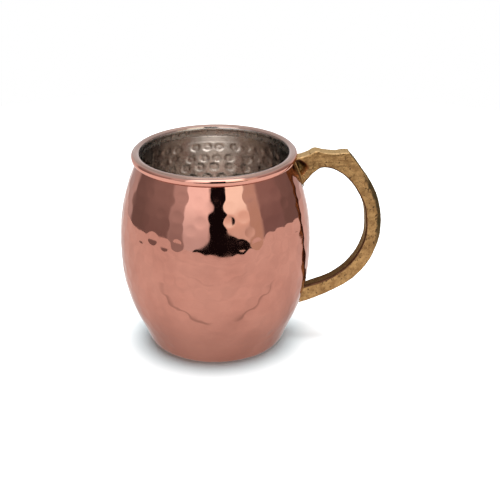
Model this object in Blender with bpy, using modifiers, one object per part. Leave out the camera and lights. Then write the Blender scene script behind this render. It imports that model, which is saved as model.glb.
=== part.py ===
"""A copper mug: a barrel of hammered copper with a wired rim, a tin lining and a cast brass handle.

The mug stands on Z = 0 with its axis on Z, and the handle points along +X.
"""

import math

import bmesh
import bpy
from mathutils import Matrix, Vector

MM = 0.001

# Driving dimensions, in millimetres.
HEIGHT = 96.7
BELLY_RADIUS = 45.75
BEAD_RADIUS = 2.16
BEAD_RING_RADIUS = 37.0
COPPER_WALL = 0.8
LINING_WALL = 0.3
GAP = 0.3
BRAZE_FILM = 0.5
BRAZE_BORDER = 0.5
FLAT_BASE_RADIUS = 29.7
BASE_CORNER_RADIUS = 3.5
BASE_CORNER_START = math.radians(-23)
HANDLE_THICKNESS = 6.8
HANDLE_EDGE_ROUND = 0.9
UPPER_FOOT = (77.4, 91.4)
LOWER_FOOT = (15.0, 24.9)

# The barrel as (radius, height) at its neck and foot. From the belly it draws in by a power of the height.
NECK = (36.9, 92.0)
FOOT = (36.1, 9.5)
BELLY_HEIGHT = 52.0
UPPER_POWER = 2.0
LOWER_POWER = 2.36

# The handle's outline, as (x, z): the top edge out to the second peak, the outer edge of the D, and its inner
# edge. The ends run into the wall, which cuts them.
TOP_EDGE = [
    (33.0, 91.3), (40.0, 92.1), (44.4, 93.2), (48.3, 94.9), (52.4, 93.8), (57.5, 93.2), (61.2, 93.5),
    (64.2, 93.4),
]
OUTER_EDGE = [
    (64.2, 93.4), (67.8, 88.6), (71.6, 83.1), (75.2, 77.5), (78.1, 71.3), (79.95, 64.5), (80.7, 57.3),
    (80.3, 50.0), (78.3, 42.6), (74.0, 34.2), (67.4, 27.3), (58.5, 21.9), (48.3, 17.7), (40.0, 15.3),
    (33.0, 13.5),
]
INNER_EDGE = [
    (33.0, 22.0), (40.0, 23.5), (46.0, 25.2), (52.2, 27.0), (58.5, 29.9), (65.0, 35.0), (69.8, 41.5),
    (72.6, 48.6), (73.2, 56.0), (72.1, 65.3), (68.5, 73.4), (63.9, 79.7), (58.8, 83.9), (52.0, 86.2),
    (47.2, 84.0), (43.6, 79.8), (40.0, 76.2), (33.0, 74.0),
]

SEGMENTS = 48
SIDE_SPANS = 4
SIDE_STEPS = 2
CURL_STEPS = 12
CORNER_STEPS = 4
OUTLINE_STEPS = 3
WIRE_SIDES = 8
CURL_START = math.radians(215)
CURL_END = math.radians(-82)
WIRE_RADIUS = BEAD_RADIUS - COPPER_WALL - GAP
BEAD_HEIGHT = HEIGHT - BEAD_RADIUS
HANDLE_STANDOFF = GAP + BRAZE_FILM + GAP


def clear_scene():
    for obj in list(bpy.data.objects):
        bpy.data.objects.remove(obj, do_unlink=True)


def new_collection(name):
    collection = bpy.data.collections.new(name)
    bpy.context.scene.collection.children.link(collection)
    return collection


def new_material(name, color, roughness):
    """A metal with one colour and roughness."""
    material = bpy.data.materials.new(name)
    material.use_nodes = True
    shader = material.node_tree.nodes["Principled BSDF"]
    shader.inputs["Base Color"].default_value = (*color, 1.0)
    shader.inputs["Metallic"].default_value = 1.0
    shader.inputs["Roughness"].default_value = roughness
    return material


def smooth_run(knots, steps):
    """Points on a smooth curve through the knots: a Catmull-Rom spline with `steps` points a span."""
    points = [Vector(knot) for knot in knots]
    before = 2 * points[0] - points[1]
    after = 2 * points[-1] - points[-2]
    padded = [before, *points, after]
    run = []
    for i in range(len(points) - 1):
        a, b, c, d = padded[i : i + 4]
        for step in range(steps):
            t = step / steps
            curved = (2 * a - 5 * b + 4 * c - d) * t**2 + (3 * b - a - 3 * c + d) * t**3
            run.append(b + (c - a) * t / 2 + curved / 2)
    run.append(points[-1])
    return run


def arc(center, radius, start, end, steps):
    """Points on an arc, both ends included. The angles are counted from the first axis."""
    angles = [start + (end - start) * step / steps for step in range(steps + 1)]
    return [Vector(center) + radius * Vector((math.cos(angle), math.sin(angle))) for angle in angles]


def side_knots():
    """The barrel's outer side as (radius, height), from the neck past the belly to the foot."""
    knots = []
    for step in range(-SIDE_SPANS, SIDE_SPANS + 1):
        (radius, height), power = (NECK, UPPER_POWER) if step < 0 else (FOOT, LOWER_POWER)
        share = abs(step) / SIDE_SPANS
        drawn_in = (BELLY_RADIUS - radius) * share**power
        knots.append((BELLY_RADIUS - drawn_in, BELLY_HEIGHT + (height - BELLY_HEIGHT) * share))
    return knots


def side_outline():
    """The barrel's outer side from the neck down, the rounded corner, and the flat base to the axis."""
    corner_center = (FLAT_BASE_RADIUS, BASE_CORNER_RADIUS)
    corner = arc(corner_center, BASE_CORNER_RADIUS, BASE_CORNER_START, math.radians(-90), CORNER_STEPS)
    side = smooth_run([*side_knots(), corner[0]], SIDE_STEPS)
    return side + corner[1:] + [Vector((0.0, 0.0))]


def curl_outline():
    """The side of the sheet that faces the rim wire, from the curl's free end back to the neck."""
    return arc((BEAD_RING_RADIUS, BEAD_HEIGHT), BEAD_RADIUS - COPPER_WALL, CURL_END, CURL_START, CURL_STEPS)


def offset_outline(points, distance):
    """The outline moved outwards by a distance, or inwards by a negative one, along its own normals."""
    spans = [(b - a).normalized() for a, b in zip(points, points[1:])]
    normals = [Vector((-span.y, span.x)) for span in spans]
    moved = []
    for point, above, below in zip(points, [normals[0], *normals], [*normals, normals[-1]]):
        normal = (above + below).normalized()
        moved.append(point + normal * distance / normal.dot(above))
    return moved


def closed_top(outline):
    """The outline with a flat top added, from the axis out to its first point."""
    return [Vector((0.0, outline[0].y)), *outline]


def turned(name, outline, collection, wall=None):
    """An outline of (radius, height) turned about Z, and thickened inwards if a wall is given."""
    mesh = bpy.data.meshes.new(name)
    vertices = [(point.x * MM, 0.0, point.y * MM) for point in outline]
    edges = [(i, i + 1) for i in range(len(vertices) - 1)]
    mesh.from_pydata(vertices, edges, [])
    obj = bpy.data.objects.new(name, mesh)
    collection.objects.link(obj)
    screw = obj.modifiers.new("Turn", "SCREW")
    screw.axis = "Z"
    screw.steps = screw.render_steps = SEGMENTS
    screw.use_merge_vertices = True
    screw.merge_threshold = 0.00001
    screw.use_smooth_shade = True
    if wall is not None:
        solidify = obj.modifiers.new("Wall", "SOLIDIFY")
        solidify.thickness = wall * MM
        solidify.offset = -1.0
        solidify.use_even_offset = True
    return obj


def make_copper_body(collection):
    """The raised copper sheet, curled outwards into the bead at the rim."""
    return turned("copper_body", curl_outline() + side_outline(), collection, COPPER_WALL)


def make_lining(collection):
    """The tin layer on the inside, up to the bead."""
    inside = offset_outline(side_outline(), -(COPPER_WALL + GAP))
    return turned("lining", inside, collection, LINING_WALL)


def make_rim_wire(collection):
    """The wire ring inside the curl."""
    bpy.ops.mesh.primitive_torus_add(
        major_radius=BEAD_RING_RADIUS * MM,
        minor_radius=WIRE_RADIUS * MM,
        major_segments=SEGMENTS,
        minor_segments=WIRE_SIDES,
        location=(0.0, 0.0, BEAD_HEIGHT * MM),
    )
    wire = bpy.context.object
    wire.name = wire.data.name = "rim_wire"
    wire.data.shade_smooth()
    move_to(wire, collection)
    return wire


def move_to(obj, collection):
    for old in list(obj.users_collection):
        old.objects.unlink(obj)
    collection.objects.link(obj)


def as_mesh(curve_object, name):
    """A mesh copy of a curve object, with its caps welded on. The curve is removed."""
    graph = bpy.context.evaluated_depsgraph_get()
    mesh = bpy.data.meshes.new_from_object(curve_object.evaluated_get(graph))
    mesh.name = name
    work = bmesh.new()
    work.from_mesh(mesh)
    bmesh.ops.remove_doubles(work, verts=work.verts, dist=0.000001)
    bmesh.ops.dissolve_limit(work, angle_limit=math.radians(0.5), verts=work.verts, edges=work.edges)
    bmesh.ops.recalc_face_normals(work, faces=work.faces)
    work.to_mesh(mesh)
    work.free()
    obj = bpy.data.objects.new(name, mesh)
    obj.matrix_world = curve_object.matrix_world.copy()
    for collection in curve_object.users_collection:
        collection.objects.link(obj)
    bpy.data.objects.remove(curve_object, do_unlink=True)
    return obj


def make_handle(collection, standoff_cutter):
    """The cast handle: its flat outline given a thickness, rounded edges, and both ends cut to the wall."""
    top, outer, inner = (smooth_run(edge, OUTLINE_STEPS) for edge in (TOP_EDGE, OUTER_EDGE, INNER_EDGE))
    outline = top[:-1] + outer + inner
    curve = bpy.data.curves.new("handle_outline", "CURVE")
    curve.dimensions = "2D"
    curve.fill_mode = "BOTH"
    curve.extrude = HANDLE_THICKNESS / 2 * MM
    spline = curve.splines.new("POLY")
    spline.points.add(len(outline) - 1)
    for slot, point in zip(spline.points, outline):
        slot.co = (point.x * MM, point.y * MM, 0.0, 1.0)
    spline.use_cyclic_u = True
    flat = bpy.data.objects.new("handle_outline", curve)
    flat.rotation_euler = (math.radians(90), 0.0, 0.0)
    collection.objects.link(flat)
    bpy.context.view_layer.update()
    handle = as_mesh(flat, "handle")
    bevel = handle.modifiers.new("Rounded edges", "BEVEL")
    bevel.width = HANDLE_EDGE_ROUND * MM
    bevel.segments = 2
    bevel.limit_method = "ANGLE"
    bevel.angle_limit = math.radians(40)
    add_boolean(handle, standoff_cutter, "DIFFERENCE")
    handle.data.shade_smooth()
    handle.data.set_sharp_from_angle(angle=math.radians(35))
    return handle


def add_boolean(obj, other, operation):
    boolean = obj.modifiers.new(operation.title(), "BOOLEAN")
    boolean.operation = operation
    boolean.object = other
    boolean.solver = "EXACT"


def make_braze(name, heights, collection, film):
    """A block that spans one foot of the handle, kept only where the film of braze metal runs."""
    half_width = HANDLE_THICKNESS / 2 + BRAZE_BORDER
    lowest = Vector((BASE_CORNER_RADIUS + FLAT_BASE_RADIUS, -half_width, heights[0])) * MM
    highest = Vector((BELLY_RADIUS, half_width, heights[1])) * MM
    bpy.ops.mesh.primitive_cube_add(size=1.0)
    block = bpy.context.object
    block.name = block.data.name = name
    scale = Matrix.Diagonal((*(highest - lowest), 1.0))
    block.data.transform(Matrix.Translation((lowest + highest) / 2) @ scale)
    move_to(block, collection)
    add_boolean(block, film, "INTERSECT")
    return block


def main():
    clear_scene()
    mug = new_collection("Copper mug")
    cutters = new_collection("Cutters")
    cutters.hide_render = True
    origin = bpy.data.objects.new("copper_mug_origin", None)
    mug.objects.link(origin)

    side = side_outline()
    standoff = turned("standoff_cutter", closed_top(offset_outline(side, HANDLE_STANDOFF)), cutters)
    film = turned("braze_layer", offset_outline(side, GAP + BRAZE_FILM), cutters, BRAZE_FILM)
    for cutter in (standoff, film):
        cutter.hide_render = True
        cutter.display_type = "WIRE"

    copper = new_material("copper", (0.72, 0.40, 0.32), 0.12)
    tin = new_material("tin", (0.55, 0.51, 0.48), 0.3)
    brass = new_material("brass", (0.58, 0.40, 0.20), 0.38)
    braze = new_material("braze", (0.62, 0.45, 0.26), 0.4)
    parts = [
        (make_copper_body(mug), copper),
        (make_lining(mug), tin),
        (make_rim_wire(mug), brass),
        (make_handle(mug, standoff), brass),
        (make_braze("upper_braze", UPPER_FOOT, mug, film), braze),
        (make_braze("lower_braze", LOWER_FOOT, mug, film), braze),
    ]
    for part, material in parts:
        part.data.materials.clear()
        part.data.materials.append(material)
        part.parent = origin


main()
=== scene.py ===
"""Looks of the copper mug: hammered copper, bumped tin lining, cast brass handle, and a small photo studio.

Lengths are in metres unless a name ends in _MM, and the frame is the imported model's.
"""

import math
import random

import bmesh
import bpy
import numpy as np
from mathutils import Matrix, Vector, noise


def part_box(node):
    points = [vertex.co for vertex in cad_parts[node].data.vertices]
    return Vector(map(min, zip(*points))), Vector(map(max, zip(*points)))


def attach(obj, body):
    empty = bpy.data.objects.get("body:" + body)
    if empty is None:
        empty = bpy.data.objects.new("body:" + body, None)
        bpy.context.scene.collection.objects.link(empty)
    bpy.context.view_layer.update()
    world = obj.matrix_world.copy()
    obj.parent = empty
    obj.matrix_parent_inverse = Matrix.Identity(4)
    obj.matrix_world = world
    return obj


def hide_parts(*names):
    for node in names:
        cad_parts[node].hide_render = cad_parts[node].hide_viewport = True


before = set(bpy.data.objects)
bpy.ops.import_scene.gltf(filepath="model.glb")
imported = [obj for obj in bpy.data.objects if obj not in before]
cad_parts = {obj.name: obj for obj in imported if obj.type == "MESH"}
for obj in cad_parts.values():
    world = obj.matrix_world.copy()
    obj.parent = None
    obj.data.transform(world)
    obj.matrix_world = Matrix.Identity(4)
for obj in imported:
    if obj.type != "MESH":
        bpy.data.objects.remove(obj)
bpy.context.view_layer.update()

MM = 0.001
BODY = "root"

# ---------------------------------------------------------------- sizes, from the frame and from the design

_, mug_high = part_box("copper_body")
wire_low, wire_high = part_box("rim_wire")
_, handle_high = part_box("handle")
HEIGHT_MM = mug_high.z / MM
BELLY_RADIUS_MM = mug_high.x / MM
BEAD_HEIGHT_MM = (wire_low.z + wire_high.z) / 2 / MM
BEAD_RADIUS_MM = HEIGHT_MM - BEAD_HEIGHT_MM
WIRE_RADIUS_MM = (wire_high.z - wire_low.z) / 2 / MM
BEAD_RING_RADIUS_MM = wire_high.x / MM - WIRE_RADIUS_MM
HANDLE_HALF_MM = handle_high.y / MM
COPPER_WALL_MM = 0.8
LINING_DEPTH_MM = 1.1
LINING_WALL_MM = 0.3

# The bead, in degrees round its middle: how far up its outside is flattened, where the tin ends on its crown,
# and the crease where it meets the neck.
TIN_OVER_BEAD_MM = 0.06
BEAD_SQUARENESS = 0.45
SQUARED_TO = 70
TIN_EDGE = 62
CREASE = 137

FLAT_BASE_RADIUS_MM = 29.7
BASE_CORNER_RADIUS_MM = 3.5
BASE_CORNER_START = math.radians(-23)

# The barrel as (radius, height) at its neck and foot. From the belly it draws in by a power of the height.
NECK_MM = (36.9, 92.0)
FOOT_MM = (36.1, 9.5)
BELLY_HEIGHT_MM = 52.0
UPPER_POWER = 2.0
LOWER_POWER = 2.36
SIDE_SPANS = 4

# The handle's outline as (x, z): its top edge, the outer edge of the D, and the inner edge from the top down.
TOP_EDGE = [
    (33.0, 91.3), (40.0, 92.1), (44.4, 93.2), (48.3, 94.9), (52.4, 93.8), (57.5, 93.2), (61.2, 93.5),
    (64.2, 93.4),
]
OUTER_EDGE = [
    (64.2, 93.4), (67.8, 88.6), (71.6, 83.1), (75.2, 77.5), (78.1, 71.3), (79.95, 64.5), (80.7, 57.3),
    (80.3, 50.0), (78.3, 42.6), (74.0, 34.2), (67.4, 27.3), (58.5, 21.9), (48.3, 17.7), (40.0, 15.3),
    (33.0, 13.5),
]
INNER_EDGE = [
    (33.0, 74.0), (40.0, 76.2), (43.6, 79.8), (47.2, 84.0), (52.0, 86.2), (58.8, 83.9), (63.9, 79.7),
    (68.5, 73.4), (72.1, 65.3), (73.2, 56.0), (72.6, 48.6), (69.8, 41.5), (65.0, 35.0), (58.5, 29.9),
    (52.2, 27.0), (46.0, 25.2), (40.0, 23.5), (33.0, 22.0),
]
EDGE_ROUND_MM = 1.0

# The scoop in each side of the upper foot, and the two ends of a low boss along its lower edge, as (x, z).
SCOOP_MM = [
    (38.0, 91.2), (40.4, 91.3), (42.1, 90.3), (43.8, 88.8), (45.0, 86.9), (44.2, 85.2), (42.8, 83.6),
    (41.2, 82.0), (40.0, 80.9), (38.0, 80.5),
]
SCOOP_DEPTH_MM = 2.3
SCOOP_SLOPE_MM = 2.8
BOSS_MM = ((42.6, 80.6), (47.4, 85.4))
BOSS_HEIGHT_MM = 0.5
BOSS_REACH_MM = 1.7

# Radii of the rings across the flat base and over the floors, out from the axis and in towards it.
BASE_RINGS_MM = (24.0, 12.0, 2.0)
COPPER_FLOOR_MM = (2.0, 20.0)
TIN_FLOOR_MM = (20.0, 8.0, 2.0)
TIN_BACK_FLOOR_MM = (2.0, 14.0)

# The mesh round Z: columns in each ring, points along the outlines, and spacings where nothing is hammered.
COLUMNS = 440
SPAN_STEPS = 24
CORNER_STEPS = 12
SIDE_STEP_MM = 0.64
NECK_STEP_MM = 0.35
BACK_STEP_MM = 6.0
PLAIN_STEP_MM = 10.0

# The copper's curl round the wire, in degrees round the bead's middle.
CURL_START = 215
CURL_END = -82
CURL_STEPS = 28
CURL_INNER_STEPS = 8
TIN_STEPS = 16
TIN_UNDER_STEPS = 6

# The groove below the bead as (out, up) from the crease, then how far below the crease the neck starts and
# how far inside the side it ends.
GROOVE_MM = ((0.16, -0.14), (0.24, -0.34), (0.05, -0.55))
NECK_DROP_MM = 0.7
NECK_SET_IN_MM = 0.1

# The rows of blows. Paths are measured down the side from the neck.
ROW_PITCH_MM = 6.2
BLOW_PITCH_MM = 6.3
FIRST_ROW_MM = 7.2
LAST_ROW_MM = 96.0
ALONG_ROW_SCATTER = 0.13
ACROSS_ROW_SCATTER_MM = 0.8
BLOW_STRENGTHS = (0.35, 1.05)
HARD_BLOW_CHANCE = 0.08
HARD_BLOW_EXTRA = 0.8
REACH_FACTORS = (0.85, 1.15)

# A patch of the side where the blows are weaker.
CALM_ANGLES = (-114, -76)
CALM_HEIGHTS_MM = (48, 73)
CALM_STRENGTH = 0.35

# How much room a marked blow keeps, and the seed of the random ones.
MARK_SPACE_MM = 4.8
BLOW_SEED = 11

# What a blow leaves: a dish outside, and a flat-topped bump with a small dent inside.
DISH_DEPTH_MM = 0.11
DISH_REACH_MM = 3.0
BUMP_HEIGHT_MM = 0.26
BUMP_REACH_MM = 2.6
BUMP_FLANK = 0.6
DENT_REACH = 0.3
DENT_DEPTH = 0.35
STRONGEST_BUMP = 1.1
MEETING_SHARPNESS = 7
UNWORKED_MM = 2.0
WORKED_OVER_MM = 4.0
WAVE_SIZE_MM = 13.0
WAVE_HEIGHT_MM = 0.12
RIDGE_MM = 0.12
RIDGE_ABOVE_MM = 0.3
RIDGE_REACH_MM = 0.5

# The blows that show most: a height in mm, a strength, and angles in degrees from +X. The first four rows are
# on the far wall, where they show as bumps inside.
MARKED_BLOWS = [
    (85.0, 1.0, (113, 99, 90, 81, 69)),
    (78.3, 1.0, (102, 92, 83, 74, 61)),
    (73.2, 1.0, (105, 95, 85, 74, 63)),
    (67.0, 1.0, (110, 100, 90, 80, 69)),
    (86.9, 1.5, (-72, -117)), (77.4, 2.0, (-86.3,)), (78.5, 1.1, (-77, -119)), (71.6, 1.1, (-74,)),
    (65.6, 1.05, (-79.5,)), (66.0, 1.2, (-70, -118)), (66.3, 2.2, (-135,)), (64.6, 1.7, (-144, -126)),
    (63.2, 1.3, (-153,)), (87.9, 0.93, (-92.8,)), (79.0, 0.93, (-90.8, -95.2)), (77.0, 1.0, (-104,)),
    (83.4, 0.9, (-85.4, -99.3)),
]


# ---------------------------------------------------------------- curves

def smooth_run(knots, steps):
    """Points on a Catmull-Rom spline through the knots, `steps` to a span, as an array."""
    points = np.array(knots, float)
    padded = np.vstack([2 * points[0] - points[1], points, 2 * points[-1] - points[-2]])
    run = []
    for i in range(len(points) - 1):
        a, b, c, d = padded[i : i + 4]
        for t in np.arange(steps) / steps:
            curved = (2 * a - 5 * b + 4 * c - d) * t**2 + (3 * b - a - 3 * c + d) * t**3
            run.append(b + (c - a) * t / 2 + curved / 2)
    run.append(points[-1])
    return np.array(run)


def arc(center, radius, start, end, steps):
    """Points on an arc, both ends included."""
    angles = np.linspace(start, end, steps + 1)
    return np.array(center) + radius * np.stack([np.cos(angles), np.sin(angles)], 1)


def path_lengths(points):
    """How far along the polyline each point is."""
    return np.concatenate([[0.0], np.cumsum(np.linalg.norm(np.diff(points, axis=0), axis=1))])


def even_run(points, spacing):
    """The polyline's points read again at an even spacing, ends included."""
    lengths = path_lengths(points)
    wanted = np.linspace(0.0, lengths[-1], max(2, round(lengths[-1] / spacing) + 1))
    return np.stack([np.interp(wanted, lengths, points[:, k]) for k in (0, 1)], 1)


def outline_normals(points):
    """Unit normals to the left of a polyline's direction of travel, averaged at its points."""
    along = np.gradient(points, axis=0)
    normals = np.stack([-along[:, 1], along[:, 0]], 1)
    return normals / np.linalg.norm(normals, axis=1, keepdims=True)


def side_knots():
    """The barrel's outer side as (radius, height), from the neck past the belly to the foot."""
    knots = []
    for step in range(-SIDE_SPANS, SIDE_SPANS + 1):
        (radius, height), power = (NECK_MM, UPPER_POWER) if step < 0 else (FOOT_MM, LOWER_POWER)
        share = abs(step) / SIDE_SPANS
        drawn_in = (BELLY_RADIUS_MM - radius) * share**power
        knots.append((BELLY_RADIUS_MM - drawn_in, BELLY_HEIGHT_MM + (height - BELLY_HEIGHT_MM) * share))
    return knots


def side_outline():
    """The barrel's outer side from the neck down, and the rounded corner at the base."""
    center = (FLAT_BASE_RADIUS_MM, BASE_CORNER_RADIUS_MM)
    corner = arc(center, BASE_CORNER_RADIUS_MM, BASE_CORNER_START, math.radians(-90), CORNER_STEPS)
    side = smooth_run([*side_knots(), tuple(corner[0])], SPAN_STEPS)
    return np.vstack([side, corner[1:]])


# ---------------------------------------------------------------- hammer blows

def hammer_blows():
    """Every blow as (angle, path in mm, strength, reach factor): the marked ones, then staggered rows."""
    rng = random.Random(BLOW_SEED)
    side = side_outline()
    lengths = path_lengths(side)
    blows = []
    for height, strength, angles in MARKED_BLOWS:
        path = np.interp(-height, -side[:, 1], lengths)
        blows += [(math.radians(angle), path, strength, 1.0) for angle in angles]
    marked = list(blows)
    rows = int((LAST_ROW_MM - FIRST_ROW_MM) / ROW_PITCH_MM) + 1
    for row in range(rows):
        middle = FIRST_ROW_MM + row * ROW_PITCH_MM
        radius, height = (np.interp(middle, lengths, side[:, k]) for k in (0, 1))
        count = round(2 * math.pi * radius / BLOW_PITCH_MM)
        phase = rng.random()
        for k in range(count):
            scatter = rng.uniform(-ALONG_ROW_SCATTER, ALONG_ROW_SCATTER)
            angle = 2 * math.pi * (k + phase + scatter) / count
            strength = rng.uniform(*BLOW_STRENGTHS)
            strength += HARD_BLOW_EXTRA if rng.random() < HARD_BLOW_CHANCE else 0
            path = middle + rng.uniform(-ACROSS_ROW_SCATTER_MM, ACROSS_ROW_SCATTER_MM)
            factor = rng.uniform(*REACH_FACTORS)
            if near_a_mark(angle, path, radius, marked):
                continue
            from_x = (math.degrees(angle) + 180) % 360 - 180
            calm_angle = CALM_ANGLES[0] < from_x < CALM_ANGLES[1]
            if calm_angle and CALM_HEIGHTS_MM[0] < height < CALM_HEIGHTS_MM[1]:
                strength *= CALM_STRENGTH
            blows.append((angle, path, strength, factor))
    return blows


def near_a_mark(angle, path, radius, marked):
    """Whether a marked blow is too close for another one at this angle and path."""
    for at, mark_path, *_ in marked:
        turn = (angle - at + math.pi) % (2 * math.pi) - math.pi
        if math.hypot(turn * radius, path - mark_path) < MARK_SPACE_MM:
            return True
    return False


def dish_shape(share):
    """A shallow bowl. A share is the squared distance from the middle over the squared reach."""
    return np.clip(1 - share, 0, None)


def bump_shape(share):
    """A flat-topped bump with a small dent in the middle."""
    rise = np.clip((1 - share) / BUMP_FLANK, 0, 1)
    return rise * rise * (3 - 2 * rise) - DENT_DEPTH * np.clip(1 - share / DENT_REACH, 0, 1)


def blow_field(paths, radii, blows, reach, shape):
    """How deep the blows go at each (path, column). Blows that meet leave a ridge."""
    columns = np.arange(COLUMNS) * 2 * math.pi / COLUMNS
    total = np.zeros((len(paths), COLUMNS))
    for angle, path, strength, factor in blows:
        rows = np.nonzero(np.abs(paths - path) < reach * factor)[0]
        if not len(rows):
            continue
        turn = (columns - angle + math.pi) % (2 * math.pi) - math.pi
        near = np.nonzero(np.abs(turn) * radii[rows].max() < reach * factor)[0]
        across = turn[near][None, :] * radii[rows][:, None]
        share = (across**2 + (paths[rows] - path)[:, None] ** 2) / (reach * factor) ** 2
        total[np.ix_(rows, near)] += (shape(share) * strength) ** MEETING_SHARPNESS
    return total ** (1 / MEETING_SHARPNESS)


# ---------------------------------------------------------------- meshes

def grid_object(name, rings, material, poles=()):
    """A mesh from rings of points, each a closed loop. A pole is (ring index, point) and caps that ring."""
    count, columns = rings.shape[:2]
    points = rings.reshape(-1, 3)
    here = np.arange(columns)
    after = (here + 1) % columns
    faces = []
    for row in range(count - 1):
        a, b = row * columns, (row + 1) * columns
        faces.append(np.stack([a + here, b + here, b + after, a + after], 1))
    faces = np.vstack(faces).tolist()
    points = points.tolist()
    for row, pole in poles:
        ring = row * columns
        tip = len(points)
        points.append(list(pole))
        for j in range(columns):
            pair = (ring + j, ring + (j + 1) % columns)
            faces.append((tip, *pair) if row == 0 else (tip, pair[1], pair[0]))
    mesh = bpy.data.meshes.new(name)
    mesh.from_pydata(points, [], faces)
    mesh.validate()
    mesh.shade_smooth()
    obj = bpy.data.objects.new(name, mesh)
    bpy.context.scene.collection.objects.link(obj)
    mesh.materials.append(material)
    return obj


def turned_rings(outline_mm, push_mm=None):
    """Rings round Z for an outline of (radius, height), pushed along its normals by push_mm[row, column]."""
    angles = np.arange(COLUMNS) * 2 * math.pi / COLUMNS
    place = np.repeat(outline_mm[:, None, :], COLUMNS, axis=1)
    if push_mm is not None:
        place = place + outline_normals(outline_mm)[:, None, :] * push_mm[:, :, None]
    radius, height = place[..., 0], place[..., 1]
    return np.stack([radius * np.cos(angles), radius * np.sin(angles), height], 2) * MM


def unevenness(points_mm, size_mm, height_mm):
    """Smooth noise at each point of a grid of points in mm."""
    flat = points_mm.reshape(-1, 3) / size_mm
    values = np.array([noise.noise(Vector(p)) for p in flat])
    return values.reshape(points_mm.shape[:-1]) * height_mm


def bead_arc(radius, start, end, steps):
    """Points round the bead's middle. Its outer side is a little flattened, as a hammer leaves it."""
    angles = np.linspace(math.radians(start), math.radians(end), steps + 1)
    along = np.stack([np.cos(angles), np.sin(angles)], 1)
    degrees = np.degrees(angles)
    power = 2 + BEAD_SQUARENESS * np.clip(1 - degrees / SQUARED_TO, 0, 1) * (degrees < SQUARED_TO)
    grown = radius / (np.abs(along[:, 0]) ** power + np.abs(along[:, 1]) ** power) ** (1 / power)
    return np.array([BEAD_RING_RADIUS_MM, BEAD_HEIGHT_MM]) + grown[:, None] * along


def make_copper(material, blows):
    """The copper sheet: the hammered outside, the curl at the rim, and the plain side behind the lining."""
    side = even_run(side_outline(), SIDE_STEP_MM)
    paths = path_lengths(side)
    dishes = blow_field(paths, side[:, 0], blows, DISH_REACH_MM, dish_shape) * DISH_DEPTH_MM
    worked = np.clip((paths - UNWORKED_MM) / WORKED_OVER_MM, 0, 1)[:, None]
    uneven = unevenness(turned_rings(side) / MM, WAVE_SIZE_MM, WAVE_HEIGHT_MM)
    outside = turned_rings(side, (uneven + DISH_DEPTH_MM / 2) * worked - dishes)

    curl_in = BEAD_RADIUS_MM - COPPER_WALL_MM
    inside = even_run(side, PLAIN_STEP_MM)
    inside = inside - outline_normals(inside) * COPPER_WALL_MM
    base = np.array([[r, 0.0] for r in BASE_RINGS_MM])
    floor = np.array([[r, COPPER_WALL_MM] for r in COPPER_FLOOR_MM])
    rings = np.concatenate([
        turned_rings(floor),
        turned_rings(inside[::-1]),
        turned_rings(bead_arc(BEAD_RADIUS_MM, CREASE, CURL_END, CURL_STEPS)),
        turned_rings(bead_arc(curl_in, CURL_END, CURL_START, CURL_INNER_STEPS)),
        outside,
        turned_rings(base),
    ])
    poles = [(0, (0, 0, COPPER_WALL_MM * MM)), (len(rings) - 1, (0, 0, 0))]
    return grid_object("copper_body_hammered", rings, material, poles)


def make_lining(material, blows):
    """The tin: over the bead's inner half, then a smooth neck, and bumps where the blows came through."""
    outer = side_outline()
    inner = outer - outline_normals(outer) * (LINING_DEPTH_MM + LINING_WALL_MM)
    inner[-1, 1] = LINING_DEPTH_MM + LINING_WALL_MM
    over_bead = bead_arc(BEAD_RADIUS_MM + TIN_OVER_BEAD_MM, TIN_EDGE, CREASE, TIN_STEPS)
    groove = over_bead[-1] + np.array(GROOVE_MM)
    neck_ends = np.vstack([over_bead[-1] - [0.0, NECK_DROP_MM], inner[:1] - [NECK_SET_IN_MM, 0]])
    neck = even_run(neck_ends, NECK_STEP_MM)
    inner = np.vstack([over_bead, groove, neck, even_run(inner, SIDE_STEP_MM)])
    paths = path_lengths(inner)
    start = paths[len(over_bead) + len(groove) + len(neck)]
    soft = []
    for angle, path, strength, factor in blows:
        soft.append((angle, path, min(STRONGEST_BUMP, (1 + strength) / 2), factor))
    bumps = blow_field(paths - start, inner[:, 0], soft, BUMP_REACH_MM, bump_shape) * BUMP_HEIGHT_MM
    ridge = RIDGE_MM * np.exp(-(((paths - start + RIDGE_ABOVE_MM) / RIDGE_REACH_MM) ** 2))[:, None]
    rings_in = turned_rings(inner, -bumps - ridge)
    back = even_run(outer - outline_normals(outer) * LINING_DEPTH_MM, BACK_STEP_MM)
    back[-1, 1] = LINING_DEPTH_MM
    floor_in = np.array([[r, LINING_DEPTH_MM + LINING_WALL_MM] for r in TIN_FLOOR_MM])
    floor_back = np.array([[r, LINING_DEPTH_MM] for r in TIN_BACK_FLOOR_MM])
    under = bead_arc(BEAD_RADIUS_MM - TIN_OVER_BEAD_MM, TIN_EDGE, CREASE, TIN_UNDER_STEPS)
    rings = np.concatenate([
        turned_rings(floor_in[::-1]),
        rings_in[::-1],
        turned_rings(under),
        turned_rings(back),
        turned_rings(floor_back[::-1]),
    ])
    poles = [
        (0, (0, 0, (LINING_DEPTH_MM + LINING_WALL_MM) * MM)),
        (len(rings) - 1, (0, 0, LINING_DEPTH_MM * MM)),
    ]
    return grid_object("lining_hammered", rings, material, poles)


# ---------------------------------------------------------------- handle

STATION_STEP_MM = 0.5
EDGE_SPAN_STEPS = 12
SIDE_POINTS = 38
NARROW_POINTS = 9
ROUND_STEPS = 5

# Knots of the outer edge and of the inner edge that face each other, counted from the upper root.
OUTER_PAIRS = (0, 3, 7, 13, 17, 21)
INNER_PAIRS = (0, 3.2, 5.3, 9, 12.4, 17)

# The casting's unevenness as (size, height), a broad one and a fine one, and how far from the middle plane
# a point counts as on a side.
BROAD_UNEVEN_MM = (5.0, 0.16)
FINE_UNEVEN_MM = (1.6, 0.06)
FINE_SHIFT_MM = 40.0
SIDE_FROM_MM = 1.5

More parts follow.
